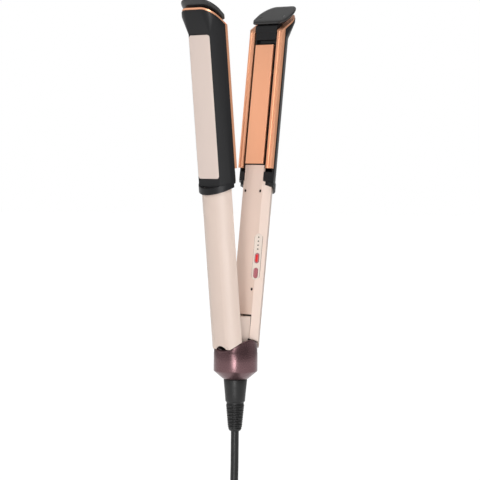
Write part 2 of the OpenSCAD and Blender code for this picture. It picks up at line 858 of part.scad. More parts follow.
module thermal_fuse() {
  color(STEEL) translate([heater_x1 + fuse_r + 0.05, 0, fuse_z]) cylinder(r = fuse_r, h = fuse_len, $fn = 24);
}

// Controls on the corner of the right arm's inner face
module button_hole(z) {
  pill(button_w + 2 * slide_gap, z - button_len / 2 - slide_gap, z + button_len / 2 + slide_gap, -5, 5);
}

module light_places() {
  for (i = [0:light_count - 1]) translate([0, 0, light_z + i * light_step]) rotate([0, 90, 0]) children();
}

module control_panel() {
  color(WHITE) on_corner() difference() {
    pill(panel_w, panel_z0, panel_z1, -pocket_d, panel_proud);
    button_hole(heat_z);
    button_hole(power_z);
    light_places() translate([0, 0, -5]) cylinder(r = light_r + 0.05, h = 10, $fn = 24);
  }
}

module button(z) {
  on_corner() {
    pill(button_w, z - button_len / 2, z + button_len / 2, -button_in, button_proud);
    pill(button_w + flange_extra, z - button_len / 2 - flange_extra / 2,
      z + button_len / 2 + flange_extra / 2, -button_root, -button_in);
  }
}

module power_button() {
  color(RED) button(power_z);
}

module heat_button() {
  color(ROSE) button(heat_z);
}

module indicator_lights() {
  color(WHITE) on_corner() light_places() translate([0, 0, -pocket_d])
    cylinder(r = light_r, h = pocket_d + panel_proud + 0.1, $fn = 24);
}

module control_board() {
  z0 = panel_z0 - 2;
  z1 = panel_z1 + 2;
  color(GREEN) on_corner() {
    translate([-board_in - board_t, board_y0, z0]) cube([board_t, board_y1 - board_y0, z1 - z0]);
    for (z = [heat_z, power_z])
      translate([-board_in - eps, -1.5, z - 1.5]) cube([board_in - switch_in, 3, 3]);
    for (z = [z0 + 1, z1 - 1])
      translate([-board_in - eps, 0, z]) rotate([0, 90, 0])
        cylinder(r = board_post_r, h = board_in - board_post_in);
  }
}

collar();
hinge_base();
hinge_wedge();
hinge_pin();
hinge_springs();
strain_relief();
cord_tail();
cord_hank();
cord_tie();
plug_body();
plug_pins();
left_arm() arm_frame(-1);  // left_arm_frame
left_arm() handle_shell();  // left_handle_shell
left_arm() handle_cover();  // left_handle_cover
left_arm() cover_screws();  // left_cover_screws
left_arm() wire_loom();  // left_wire_loom
left_arm() jaw_shroud();  // left_jaw_shroud
left_arm() back_panel();  // left_back_panel
left_arm() plate_carrier();  // left_plate_carrier
left_arm() side_bars();  // left_side_bars
left_arm() tip_cap();  // left_tip_cap
left_arm() plate_springs();  // left_plate_springs
left_arm() centre_plate();  // left_centre_plate
left_arm() heater();  // left_heater
left_arm() thermal_fuse();  // left_thermal_fuse
right_arm() arm_frame(1);  // right_arm_frame
right_arm() handle_shell();  // right_handle_shell
right_arm() right_handle_cover();
right_arm() cover_screws();  // right_cover_screws
right_arm() wire_loom();  // right_wire_loom
right_arm() jaw_shroud();  // right_jaw_shroud
right_arm() back_panel();  // right_back_panel
right_arm() plate_carrier();  // right_plate_carrier
right_arm() side_bars();  // right_side_bars
right_arm() tip_cap();  // right_tip_cap
right_arm() plate_springs();  // right_plate_springs
right_arm() centre_plate();  // right_centre_plate
right_arm() heater();  // right_heater
right_arm() thermal_fuse();  // right_thermal_fuse
right_arm() control_panel();
right_arm() power_button();
right_arm() heat_button();
right_arm() indicator_lights();
right_arm() control_board();
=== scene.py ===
"""Looks of the hair straightener: materials, fine detail, cord, light and camera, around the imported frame."""

import math

import bmesh
import bpy
from mathutils import Matrix, Vector


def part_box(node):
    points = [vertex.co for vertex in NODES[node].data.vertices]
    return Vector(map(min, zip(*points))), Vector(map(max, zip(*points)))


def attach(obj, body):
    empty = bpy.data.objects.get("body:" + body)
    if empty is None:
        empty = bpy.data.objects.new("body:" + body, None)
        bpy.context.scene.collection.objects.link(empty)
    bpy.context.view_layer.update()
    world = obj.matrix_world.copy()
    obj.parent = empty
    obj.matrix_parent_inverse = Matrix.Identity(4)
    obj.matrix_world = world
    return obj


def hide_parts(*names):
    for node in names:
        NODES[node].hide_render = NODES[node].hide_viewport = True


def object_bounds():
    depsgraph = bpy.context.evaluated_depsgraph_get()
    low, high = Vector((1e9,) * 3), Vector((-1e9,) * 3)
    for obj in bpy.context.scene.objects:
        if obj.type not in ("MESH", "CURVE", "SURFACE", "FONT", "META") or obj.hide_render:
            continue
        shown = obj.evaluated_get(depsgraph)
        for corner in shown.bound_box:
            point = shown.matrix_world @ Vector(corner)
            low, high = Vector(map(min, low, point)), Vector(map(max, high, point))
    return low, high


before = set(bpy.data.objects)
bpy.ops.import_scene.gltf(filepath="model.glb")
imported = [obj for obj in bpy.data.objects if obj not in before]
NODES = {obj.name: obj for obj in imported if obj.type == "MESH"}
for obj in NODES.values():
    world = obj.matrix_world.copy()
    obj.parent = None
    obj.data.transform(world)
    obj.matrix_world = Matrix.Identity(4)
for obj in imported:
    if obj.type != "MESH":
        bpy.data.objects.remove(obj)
CAD_BOX = [list(corner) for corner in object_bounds()]
MM = 0.001

# Camera, fitted to the photograph: angles in degrees, lengths in metres, lens and sensor in millimetres
CAMERA_AZIMUTH = -46.03
CAMERA_ELEVATION = 2.22
CAMERA_ROLL = 0.61
CAMERA_DISTANCE = 1.78
CAMERA_LENS = 166.0
CAMERA_SENSOR = 36
CAMERA_REACH = 20
CAMERA_ASIDE = 0.0025
CAMERA_HEIGHT = 0.0979

# How the arms stand: drawn closed, then swung about the pin
OPEN_ANGLE = math.radians(6.4)
PIN_Z = -7 * MM
INNER_FACE = 1.5 * MM
INNER_HALF = 10.8 * MM
CORNER_TURN = math.radians(22.5)
PANEL_W = 6.6 * MM
CORNER_DROP = PANEL_W / 2 * math.tan(CORNER_TURN)

# Free cord
CORD_D = 6.5 * MM
PLUG_TOP = -325 * MM
HANK_TURNS = 6
HANK_IN_R = 19.5 * MM
HANK_STEP = 8.4 * MM
HANK_RUN = 105 * MM
HANK_DRAW = 13.4 * MM
HANK_TOP = -182 * MM
HANK_LOW = HANK_TOP - HANK_RUN
HANK_LAYER = 7.4 * MM
RUN_SHARE = 5 / 24
HANK_SAMPLES = 96
TAIL = [
    (0, 0, -56), (0, 0, -70), (0, 0, -84), (0, 0, -100), (2, -0.5, -114),
    (8, -1.5, -127), (22, -2, -141), (35.5, -3, -154), (42.5, -3.5, -167),
    (44.7, -3.7, -175), (44.7, -3.7, -182),
]


# Placing and mesh helpers
BEVEL_ANGLE = math.radians(30)


def side_matrix(side):
    """From the closed drawing of an arm to its open place: side 1 is the right arm, -1 the left one."""
    swing = Matrix.Rotation(OPEN_ANGLE, 4, "Y")
    lift = Matrix.Translation((0, 0, PIN_Z))
    mirror = Matrix.Diagonal((side, 1, 1, 1))
    return mirror @ lift @ swing @ lift.inverted()


def corner_matrix():
    """Onto the flat that carries the controls: local x is the way out, y along the flat, z up the arm."""
    base = Matrix.Translation((INNER_FACE, -INNER_HALF, 0)) @ Matrix.Rotation(math.pi + CORNER_TURN, 4, "Z")
    return side_matrix(1) @ base @ Matrix.Translation((-CORNER_DROP, 0, 0))


def add_mesh(name, verts, faces, body, material, matrix=None):
    """Makes a smooth-shaded piece that rides on a body, moved by the matrix where one is given."""
    mesh = bpy.data.meshes.new(name)
    mesh.from_pydata([tuple(v) for v in verts], [], faces)
    obj = bpy.data.objects.new(name, mesh)
    bpy.context.scene.collection.objects.link(obj)
    if matrix is not None:
        mesh.transform(matrix)
    work = bmesh.new()
    work.from_mesh(mesh)
    bmesh.ops.recalc_face_normals(work, faces=work.faces)
    work.to_mesh(mesh)
    work.free()
    for polygon in mesh.polygons:
        polygon.use_smooth = True
    mesh.materials.append(material)
    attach(obj, body)
    return obj


def bevel(obj, width, segments=2):
    """Softens the edges where faces meet at more than the bevel angle."""
    mod = obj.modifiers.new("edge", "BEVEL")
    mod.width = width
    mod.segments = segments
    mod.limit_method = "ANGLE"
    mod.angle_limit = BEVEL_ANGLE
    mod.harden_normals = True


def rings_to_faces(count, sides, closed_ends=True):
    """Faces between rings of points that lie one after another."""
    faces = []
    for i in range(count - 1):
        for k in range(sides):
            a, b = i * sides + k, i * sides + (k + 1) % sides
            faces.append((a, b, b + sides, a + sides))
    if closed_ends:
        faces.append(tuple(range(sides)))
        faces.append(tuple(reversed(range((count - 1) * sides, count * sides))))
    return faces


def lathe(profile, sides, wave):
    """Points of a profile of (radius, height) turned about z. wave gives a point's new height."""
    verts = []
    for r, z in profile:
        for k in range(sides):
            a = 2 * math.pi * k / sides
            x, y = r * math.cos(a), r * math.sin(a)
            verts.append((x, y, wave(x, z)))
    return verts


def pill_ring(w, z0, z1, steps=10):
    """Outline of a pill in (y, z), anticlockwise, w wide, from z0 to z1."""
    r = w / 2
    ring = []
    for k in range(steps + 1):
        a = math.pi * k / steps
        ring.append((r * math.cos(a), z1 - r + r * math.sin(a)))
    for k in range(steps + 1):
        a = math.pi + math.pi * k / steps
        ring.append((r * math.cos(a), z0 + r + r * math.sin(a)))
    return ring


def pill_stack(layers):
    """A pill solid from layers of (width, z0, z1, x), from the inside out."""
    verts = []
    for w, z0, z1, x in layers:
        verts += [(x, y, z) for y, z in pill_ring(w, z0, z1)]
    return verts, rings_to_faces(len(layers), len(verts) // len(layers))


# Materials: noise sizes are per metre
TONE_SCALE = 22
TONE_DETAIL = 3
GRAIN_DETAIL = 2
BUMP_STRENGTH = 0.35
COAT_ROUGH = 0.15


def new_material(name):
    mat = bpy.data.materials.new(name)
    mat.use_nodes = True
    return mat, mat.node_tree.nodes, mat.node_tree.links, mat.node_tree.nodes["Principled BSDF"]


def surface(name, low, high, rough, spread=0.05, grain=1800, depth=0.02 * MM, metallic=0.0, specular=0.5,
            coat=0.0, stretch=(1, 1, 1)):
    """Colour between low and high by a slow noise, roughness round a value, and a fine grain as bump."""
    mat, nodes, links, shader = new_material(name)
    place = nodes.new("ShaderNodeTexCoord")
    scale = nodes.new("ShaderNodeMapping")
    scale.inputs["Scale"].default_value = stretch
    links.new(place.outputs["Object"], scale.inputs["Vector"])
    slow = nodes.new("ShaderNodeTexNoise")
    slow.inputs["Scale"].default_value = TONE_SCALE
    slow.inputs["Detail"].default_value = TONE_DETAIL
    fine = nodes.new("ShaderNodeTexNoise")
    fine.inputs["Scale"].default_value = grain
    fine.inputs["Detail"].default_value = GRAIN_DETAIL
    for noise in (slow, fine):
        links.new(scale.outputs["Vector"], noise.inputs["Vector"])
    mix = nodes.new("ShaderNodeMix")
    mix.data_type = "RGBA"
    mix.inputs[6].default_value = (*low, 1)
    mix.inputs[7].default_value = (*high, 1)
    links.new(slow.outputs["Fac"], mix.inputs["Factor"])
    links.new(mix.outputs[2], shader.inputs["Base Color"])
    span = nodes.new("ShaderNodeMapRange")
    span.inputs["To Min"].default_value = rough - spread
    span.inputs["To Max"].default_value = rough + spread
    links.new(fine.outputs["Fac"], span.inputs["Value"])
    links.new(span.outputs["Result"], shader.inputs["Roughness"])
    bump = nodes.new("ShaderNodeBump")
    bump.inputs["Strength"].default_value = BUMP_STRENGTH
    bump.inputs["Distance"].default_value = depth
    links.new(fine.outputs["Fac"], bump.inputs["Height"])
    links.new(bump.outputs["Normal"], shader.inputs["Normal"])
    shader.inputs["Metallic"].default_value = metallic
    shader.inputs["Specular IOR Level"].default_value = specular
    shader.inputs["Coat Weight"].default_value = coat
    shader.inputs["Coat Roughness"].default_value = COAT_ROUGH
    return mat


def shade(colour, factor):
    """The colour made lighter or darker by a factor."""
    return tuple(min(1.0, c * factor) for c in colour)


def grey(level):
    return (level, level, level)


PINK = (0.80, 0.645, 0.56)
PALE = (0.81, 0.67, 0.60)
BLACK = (0.010, 0.010, 0.011)
COPPER = (0.90, 0.43, 0.25)
PLUM = (0.16, 0.088, 0.095)
WARM_WHITE = (0.90, 0.81, 0.73)

PINK_SHELL = surface("pink_shell", shade(PINK, 0.985), shade(PINK, 1.01), rough=0.42, grain=2600)
# Lit copy of the pink, lighter than the shell: painted light that makes up for the shade the other arm casts on
# the inner covers and the wedge
PINK_PAINTED_LIGHT = surface("pink_painted_light", shade(PINK, 1.09), shade(PINK, 1.12), rough=0.42, grain=2600)
PALE_PANEL = surface("pale_panel", shade(PALE, 0.985), shade(PALE, 1.01), rough=0.40, grain=2600)
BLACK_PLASTIC = surface(
    "black_plastic", shade(BLACK, 0.8), shade(BLACK, 1.2), rough=0.38, spread=0.06, grain=3000,
    specular=0.22)
CAP_PLASTIC = surface("cap_plastic", grey(0.014), grey(0.022), rough=0.34, spread=0.06, grain=3000)
COPPER_COAT = surface(
    "copper_coat", shade(COPPER, 0.93), shade(COPPER, 1.04), rough=0.33, depth=0.01 * MM, metallic=0.85)
PLATE_COAT = surface(
    "plate_coat", shade(COPPER, 0.95), shade(COPPER, 1.03), rough=0.30, grain=1500, depth=0.01 * MM,
    metallic=0.8, stretch=(1, 1, 0.06))
PLUM_METAL = surface(
    "plum_metal", shade(PLUM, 0.9), shade(PLUM, 1.12), rough=0.27, spread=0.04, grain=3200, metallic=0.75)
RUBBER = surface(
    "black_rubber", grey(0.008), grey(0.014), rough=0.42, spread=0.06, grain=2400, depth=0.05 * MM,
    specular=0.4)
JACKET = surface(
    "cord_jacket", grey(0.007), grey(0.012), rough=0.40, spread=0.06, depth=0.04 * MM, specular=0.4)
STEEL = surface(
    "brushed_steel", (0.50, 0.50, 0.51), (0.62, 0.62, 0.63), rough=0.34, spread=0.08, grain=1400,
    metallic=1.0, stretch=(1, 1, 0.1))
DARK_STEEL = surface(
    "dark_steel", (0.045, 0.043, 0.043), (0.075, 0.07, 0.07), rough=0.42, spread=0.08, grain=1400,
    metallic=0.7)
PANEL_WHITE = surface(
    "panel_white", shade(WARM_WHITE, 0.98), shade(WARM_WHITE, 1.01), rough=0.25, spread=0.04, grain=2000,
    depth=0.01 * MM, coat=0.3)
ROSE = surface(
    "button_rose", (0.42, 0.115, 0.14), (0.50, 0.16, 0.19), rough=0.28, spread=0.04, depth=0.01 * MM,
    coat=0.4)
RED = surface(
    "button_red", (0.74, 0.010, 0.012), (0.84, 0.022, 0.020), rough=0.22, spread=0.03, depth=0.01 * MM,
    coat=0.5)
GUIDE = surface(
    "light_guide", (0.10, 0.085, 0.07), (0.16, 0.14, 0.12), rough=0.25, spread=0.04, depth=0.01 * MM,
    coat=0.4)
# Dark brownish pink for the ring round the control panel: painted shade, standing for the shadow in the gap
# round it
GAP_SHADE = surface("gap_painted_shade", (0.20, 0.14, 0.12), (0.28, 0.20, 0.17), rough=0.6)
SCREW = surface(
    "screw_black", (0.012, 0.006, 0.004), (0.030, 0.014, 0.010), rough=0.40, spread=0.08, depth=0.03 * MM,
    metallic=0.6)
CERAMIC = surface(
    "ceramic", (0.80, 0.78, 0.74), (0.86, 0.84, 0.81), rough=0.60, spread=0.08, grain=1500, depth=0.05 * MM)
BOARD = surface(
    "board_green", (0.02, 0.11, 0.05), (0.03, 0.16, 0.07), rough=0.40, spread=0.08, grain=1200,
    depth=0.03 * MM)
BRASS = surface(
    "plug_brass", (0.66, 0.47, 0.19), (0.76, 0.56, 0.25), rough=0.25, spread=0.06, grain=1600,
    depth=0.01 * MM, metallic=1.0)

FINISH = {
    "collar": PLUM_METAL, "hinge_base": BLACK_PLASTIC, "hinge_wedge": PINK_PAINTED_LIGHT, "hinge_pin": STEEL,
    "hinge_springs": DARK_STEEL, "strain_relief": RUBBER, "cord_tail": JACKET, "cord_hank": JACKET,
    "cord_tie": RUBBER, "plug_body": RUBBER, "plug_pins": BRASS, "arm_frame": DARK_STEEL,
    "handle_shell": PINK_SHELL, "handle_cover": PINK_PAINTED_LIGHT, "cover_screws": SCREW, "wire_loom": JACKET,
    "jaw_shroud": BLACK_PLASTIC, "back_panel": PALE_PANEL, "plate_carrier": BLACK_PLASTIC,
    "side_bars": COPPER_COAT, "tip_cap": CAP_PLASTIC, "plate_springs": STEEL, "centre_plate": PLATE_COAT,
    "heater": CERAMIC, "thermal_fuse": STEEL, "control_panel": PANEL_WHITE, "power_button": ROSE,
    "heat_button": ROSE, "indicator_lights": GUIDE, "control_board": BOARD,
}

# Width of the softened edges in millimetres
PLAIN_EDGE = 0.12
EDGE = {
    "hinge_wedge": 0.5, "jaw_shroud": 0.5, "side_bars": 0.3, "centre_plate": 0.25, "control_panel": 0.1,
    "indicator_lights": 0.05, "plate_carrier": 0.2, "plug_pins": 0.6,
}
WELD = 0.001 * MM


def plain_name(node):
    """A node's name without its side."""
    return node.split("_", 1)[1] if node.startswith(("left_", "right_")) else node


def finish_nodes():
    """Gives each CAD node its material, softened edges and smooth shading."""
    for node, obj in NODES.items():
        kind = plain_name(node)
        obj.data.materials.clear()
        obj.data.materials.append(FINISH[kind])
        for name in ("custom_normal", "sharp_face"):
            if name in obj.data.attributes:
                obj.data.attributes.remove(obj.data.attributes[name])
        for polygon in obj.data.polygons:
            polygon.use_smooth = True
        weld = obj.modifiers.new("weld", "WELD")
        weld.merge_threshold = WELD
        bevel(obj, EDGE.get(kind, PLAIN_EDGE) * MM)


# Camera and cord
def make_camera():
    """Camera that looks at a point beside and above the origin, tilted by the roll."""
    a = math.radians(CAMERA_AZIMUTH)
    e = math.radians(CAMERA_ELEVATION)
    roll = math.radians(CAMERA_ROLL)
    back = Vector((math.sin(a) * math.cos(e), -math.cos(a) * math.cos(e), math.sin(e)))
    right = Vector((math.cos(a), math.sin(a), 0))
    up = back.cross(right)
    tilted_right = right * math.cos(roll) + up * math.sin(roll)
    tilted_up = up * math.cos(roll) - right * math.sin(roll)
    target = right * CAMERA_ASIDE + Vector((0, 0, CAMERA_HEIGHT))
    camera = bpy.data.objects.new("camera", bpy.data.cameras.new("camera"))
    camera.data.lens = CAMERA_LENS
    camera.data.sensor_width = CAMERA_SENSOR
    camera.data.clip_end = CAMERA_REACH
    turn = Matrix((tilted_right, tilted_up, back)).transposed().to_4x4()
    camera.matrix_world = Matrix.Translation(target + back * CAMERA_DISTANCE) @ turn
    bpy.context.scene.collection.objects.link(camera)
    bpy.context.scene.camera = camera


def ease(x):
    """Smooth step from 0 to 1."""
    c = max(0.0, min(1.0, x))
    return c * c * (3 - 2 * c)


def hank_point(t):
    """The hank's centreline t turns in: down the right run, round, up the left run, round."""
    f = t % 1
    r = HANK_IN_R + HANK_STEP * abs(t - HANK_TURNS / 2)
    y = HANK_LAYER * (ease((t - HANK_TURNS / 2) / RUN_SHARE) - 0.5)
    rising = f >= 0.5
    g = f - 0.5 if rising else f
    sign = -1 if rising else 1
    if g < RUN_SHARE:
        s = g / RUN_SHARE
        drawn = HANK_DRAW * (1 - math.cos(2 * math.pi * s)) / 2
        z = HANK_LOW + HANK_RUN * s if rising else HANK_TOP - HANK_RUN * s
        return Vector((sign * (r - drawn), y, z))
    a = math.pi * (g - RUN_SHARE) / (0.5 - RUN_SHARE)
    low = HANK_TOP if rising else HANK_LOW
    return Vector((sign * r * math.cos(a), y, low - sign * r * math.sin(a)))


def catmull(points, steps):
    """A smooth line through the points."""
    line = []
    for i in range(len(points) - 1):
        p0, p1 = points[max(i - 1, 0)], points[i]
        p2, p3 = points[i + 1], points[min(i + 2, len(points) - 1)]
        for k in range(steps):
            t = k / steps
            line.append(0.5 * (2 * p1 + (p2 - p0) * t + (2 * p0 - 5 * p1 + 4 * p2 - p3) * t * t
                               + (3 * p1 - p0 - 3 * p2 + p3) * t ** 3))
    return line


def cord_route():
    """Centreline from the strain relief through the hank to the plug."""
    route = catmull([Vector(p) * MM for p in TAIL], 6)
    end_t = HANK_TURNS + RUN_SHARE
    count = round(end_t * HANK_SAMPLES)
    route += [hank_point(i * end_t / count) for i in range(count + 1)]
    last = route[-1]
    route += [Vector((last.x, last.y, z * MM)) for z in (-299, -311, -318.5)]
    route.append(Vector((last.x, last.y, PLUG_TOP)))
    return route


def make_cord():
    """Makes the cord as one round curve and gives it with its far end."""
    curve = bpy.data.curves.new("mains_cord", "CURVE")
    curve.dimensions = "3D"
    curve.bevel_depth = CORD_D / 2
    curve.bevel_resolution = 5
    curve.use_fill_caps = True
    route = cord_route()
    line = curve.splines.new("POLY")
    line.points.add(len(route) - 1)
    for point, place in zip(line.points, route):
        point.co = (*place, 1)
    line.use_smooth = True
    cord = bpy.data.objects.new("mains_cord", curve)
    bpy.context.scene.collection.objects.link(cord)
    curve.materials.append(JACKET)
    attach(cord, "base")
    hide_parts("cord_tail", "cord_hank")
    return cord, route[-1]


# Below 1 the plug's oval turns squarer
PLUG_SQUARE = 0.72


def make_plug(top):
    """Moulded plug: a soft neck with grip ribs that widens into an oval body with a waist."""
    sides = 48
    neck = 12 * MM
    body = 24 * MM
    half_w, half_t = 16 * MM, 7.5 * MM
    rows = []
    ribs = 5
    for i in range(ribs):
        z = -neck * i / ribs
        r = (4.6 + 1.2 * i / ribs) * MM
        rows += [(r - 0.6 * MM, r - 0.6 * MM, z), (r, r, z - 0.3 * MM),
                 (r, r, z - 1.4 * MM), (r - 0.6 * MM, r - 0.6 * MM, z - 1.8 * MM)]
    for share, grow in ((0, 0.42), (0.06, 0.72), (0.14, 0.90), (0.25, 0.965), (0.45, 0.93), (0.62, 0.94),
                        (0.80, 0.985), (0.93, 0.99), (0.975, 0.965), (1.0, 0.90)):
        rows.append((half_w * grow, half_t * (0.35 + 0.65 * grow), -neck - body * share))
    verts = []
    for rx, ry, z in rows:
        for k in range(sides):
            a = 2 * math.pi * k / sides
            cx = math.copysign(abs(math.cos(a)) ** PLUG_SQUARE, math.cos(a))
            cy = math.copysign(abs(math.sin(a)) ** PLUG_SQUARE, math.sin(a))
            mixed = min(1.0, max(0.0, (-z - neck) / (0.2 * body)))
            x = rx * (math.cos(a) * (1 - mixed) + cx * mixed)
            y = ry * (math.sin(a) * (1 - mixed) + cy * mixed)
            verts.append((top.x + x, top.y + y, top.z + z))
    plug = add_mesh("moulded_plug", verts, rings_to_faces(len(rows), sides), "base", RUBBER)
    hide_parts("plug_body")
    return plug


def rounded_box(half_x, half_y, corner, steps=10):
    """Outline of a rectangle with round corners, anticlockwise from its +x side."""
    outline = []
    for quarter in range(4):
        sx = 1 if quarter in (0, 3) else -1
        sy = 1 if quarter in (0, 1) else -1
        for k in range(steps + 1):
            a = math.pi / 2 * (quarter + k / steps)
            outline.append((sx * (half_x - corner) + corner * math.cos(a),
                            sy * (half_y - corner) + corner * math.sin(a)))
    return outline


def make_tie():
    """Strap round the hank with two raised ridges and rounded edges."""
    lo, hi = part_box("cord_tie")
    mid = (lo + hi) / 2
    half_x, half_y = (hi.x - lo.x) / 2, (hi.y - lo.y) / 2
    corner = half_y * 0.55
    wall = 1.1 * MM
    soft = 0.3 * MM
    h = (hi.z - lo.z) / 2
    rows = [(wall, -h + soft), (wall, h - soft), (wall - soft, h), (soft, h), (0, h - soft)]
    for ridge in (0.5, -0.5):
        z = ridge * h
        rows += [(0, z + 2 * soft), (soft, z + soft), (soft, z - soft), (0, z - 2 * soft)]
    rows += [(0, -h + soft), (soft, -h), (wall - soft, -h)]
    verts = []
    for inset, z in rows:
        for x, y in rounded_box(half_x - inset, half_y - inset, corner - inset):
            verts.append((mid.x + x, mid.y + y, mid.z + z))
    sides = len(verts) // len(rows)
    faces = rings_to_faces(len(rows), sides, closed_ends=False)
    last = (len(rows) - 1) * sides
    faces += [(last + k, last + (k + 1) % sides, (k + 1) % sides, k) for k in range(sides)]
    tie = add_mesh("cord_strap", verts, faces, "base", RUBBER)
    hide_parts("cord_tie")
    return tie


make_camera()
finish_nodes()
cord, cord_end = make_cord()
plug = make_plug(cord_end)
tie = make_tie()


# Collar and strain relief
COLLAR_SIDES = 144
RELIEF_SIDES = 96
RELIEF_RIBS = 13


def make_collar():
    """Turned collar with a rounded wavy rim, a fine line under it and a cone below."""
    r, inner, low, cone_low = 17.7 * MM, 15.4 * MM, -7.5 * MM, -14 * MM
    high, rise, step_z = 18.4 * MM, 10.4 * MM, 7.5 * MM
    mouth, cone_r, soft = 6 * MM, 10.2 * MM, 0.35 * MM
    wavy_r = r - 0.2 * MM
    profile = [
        (mouth, cone_low + 2.2 * MM), (mouth, cone_low + soft), (mouth + soft, cone_low),
        (cone_r - soft, cone_low), (cone_r, cone_low + soft / 2), (r - 0.5 * MM, low - 0.45 * MM),
        (r - 0.12 * MM, low - 0.1 * MM), (r, low + 0.4 * MM), (r, 0), (r, step_z - soft),
        (r - 0.1 * MM, step_z - 0.05 * MM), (wavy_r, step_z + 0.1 * MM), (wavy_r, high - 1.6 * MM),
        (wavy_r - 0.15 * MM, high - 0.5 * MM), (wavy_r - 0.6 * MM, high), (inner + 0.5 * MM, high),
        (inner, high - 0.8 * MM), (inner, step_z + 0.2 * MM), (inner, -4 * MM)]

    def wave(x, z):
        if z <= step_z:
            return z
        top = high - rise * (x / r) ** 2
        return step_z + (z - step_z) / (high - step_z) * (top - step_z)

    faces = rings_to_faces(len(profile), COLLAR_SIDES, closed_ends=False)
    collar = add_mesh("plum_collar", lathe(profile, COLLAR_SIDES, wave), faces, "base", PLUM_METAL)
    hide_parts("collar")


def make_relief():
    """Sleeve with a smooth shoulder and ribs that side bridges join, turn about."""
    sides, ribs = RELIEF_SIDES, RELIEF_RIBS
    top, step, rib_top, rib_low, end = -14 * MM, -32.5 * MM, -35 * MM, -53.5 * MM, -56 * MM
    rows = [
        (6 * MM, top + 2 * MM, 0), (8.6 * MM, top, 0), (9.3 * MM, top - 0.3 * MM, 0),
        (9.5 * MM, top - 0.9 * MM, 0), (9.0 * MM, -20 * MM, 0), (8.4 * MM, -26 * MM, 0),
        (7.95 * MM, step + 0.7 * MM, 0), (7.7 * MM, step + 0.15 * MM, 0), (7.2 * MM, step - 0.1 * MM, 0),
        (7.0 * MM, step - 0.7 * MM, 0), (7.0 * MM, rib_top + 0.3 * MM, 0)]
    pitch = (rib_top - rib_low) / ribs
    for i in range(ribs):
        r = (7.4 - 1.6 * i / (ribs - 1)) * MM
        z = rib_top - i * pitch
        rows += [(r - 0.12 * MM, z, 0), (r, z - 0.15 * pitch, 0), (r, z - 0.5 * pitch, 0),
                 (r - 0.12 * MM, z - 0.62 * pitch, 0), (r - 0.8 * MM, z - 0.7 * pitch, 1 + i % 2),
                 (r - 0.8 * MM, z - 0.93 * pitch, 1 + i % 2)]
    rows += [(5.5 * MM, rib_low - 0.2 * MM, 0), (4.9 * MM, end + 0.8 * MM, 0), (4.3 * MM, end, 0),
             (3.3 * MM, end, 0)]
    verts = []
    for r, z, bridge in rows:
        for k in range(sides):
            a = 2 * math.pi * k / sides
            aside = math.sin(a) if bridge == 1 else math.cos(a)
            grown = 0.72 * MM if bridge and abs(aside) < 0.3 else 0
            verts.append(((r + grown) * math.cos(a), (r + grown) * math.sin(a), z))
    faces = rings_to_faces(len(rows), sides)
    relief = add_mesh("ribbed_sleeve", verts, faces, "base", RUBBER)
    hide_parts("strain_relief")


# Pieces of an arm
BACK_X, BACK_HALF, BACK_CROWN = 15.2 * MM, 11.65 * MM, 1.1 * MM
PANEL_HALF = 11.4 * MM
BACK_Z0, BACK_Z1 = 149.8 * MM, 263.5 * MM
SIDE_NAMES = {1: "right", -1: "left"}
SCREW_HEIGHTS = (59 * MM, 138.5 * MM)
SCREW_Y = 8.3 * MM


def make_back_panel(side):
    """Crowned panel with round corners and a softened edge."""
    mid_z, half_z = (BACK_Z0 + BACK_Z1) / 2, (BACK_Z1 - BACK_Z0) / 2
    corner = 2.6 * MM
    verts = []
    insets = [0.15, 0, 0, 0.08, 0.3, 1.2, 3, 5, 7, 9, 11.1]
    lifts = [-0.4, 0, 0.12, 0.3, 0.4, 0.4, 0.4, 0.4, 0.4, 0.4, 0.4]
    for inset, lift in zip(insets, lifts):
        i = inset * MM
        ring = rounded_box(PANEL_HALF - i, half_z - i, max(corner - i, 0.2 * MM), steps=8)
        for y, z in ring:
            crown = (BACK_CROWN - 0.3 * MM) * (1 - (y / BACK_HALF) ** 2)
            verts.append((BACK_X + crown + (lift - 0.1) * MM, y, mid_z + z))
    sides = len(verts) // len(insets)
    panel = add_mesh(SIDE_NAMES[side] + "_pale_panel", verts, rings_to_faces(len(insets), sides),
                     SIDE_NAMES[side] + "_arm", PALE_PANEL, side_matrix(side))
    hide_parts(SIDE_NAMES[side] + "_back_panel")


def make_screws(side):
    """Four round screw heads with a six-sided socket, sunk in the inner cover."""
    sides = 36
    r, socket, depth = 1.2 * MM, 0.6 * MM, 0.6 * MM
    verts, faces = [], []
    for z in SCREW_HEIGHTS:
        for y in (-SCREW_Y, SCREW_Y):
            start = len(verts)
            rows = [(r, 3 * MM), (r, 0.25 * MM), (r - 0.1 * MM, 0.06 * MM), (r - 0.3 * MM, 0),
                    (socket + 0.08 * MM, 0.02 * MM), (socket, 0.1 * MM), (socket, depth), (0.1 * MM, depth)]
            for i, (radius, inward) in enumerate(rows):
                for k in range(sides):
                    a = 2 * math.pi * k / sides
                    shrink = 1
                    if 4 <= i <= 6:
                        shrink = math.cos(math.pi / 6) / math.cos((a % (math.pi / 3)) - math.pi / 6)
                    verts.append((INNER_FACE + 0.3 * MM + inward, y + radius * shrink * math.cos(a),
                                  z + radius * shrink * math.sin(a)))
            faces += [tuple(start + v for v in f) for f in rings_to_faces(len(rows), sides)]
    screws = add_mesh(SIDE_NAMES[side] + "_socket_screws", verts, faces, SIDE_NAMES[side] + "_arm", SCREW,
                      side_matrix(side))
    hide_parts(SIDE_NAMES[side] + "_cover_screws")


TIP_Z, TIP_SLOPE = 276 * MM, math.radians(39)
TIP_REACH, TIP_CORNER, TIP_HALF = 20.5 * MM, 11 * MM, 19 * MM
TIP_INNER_X, TIP_INNER_HALF, TIP_SHOULDER = 0.4 * MM, 15.15 * MM, 4.5 * MM


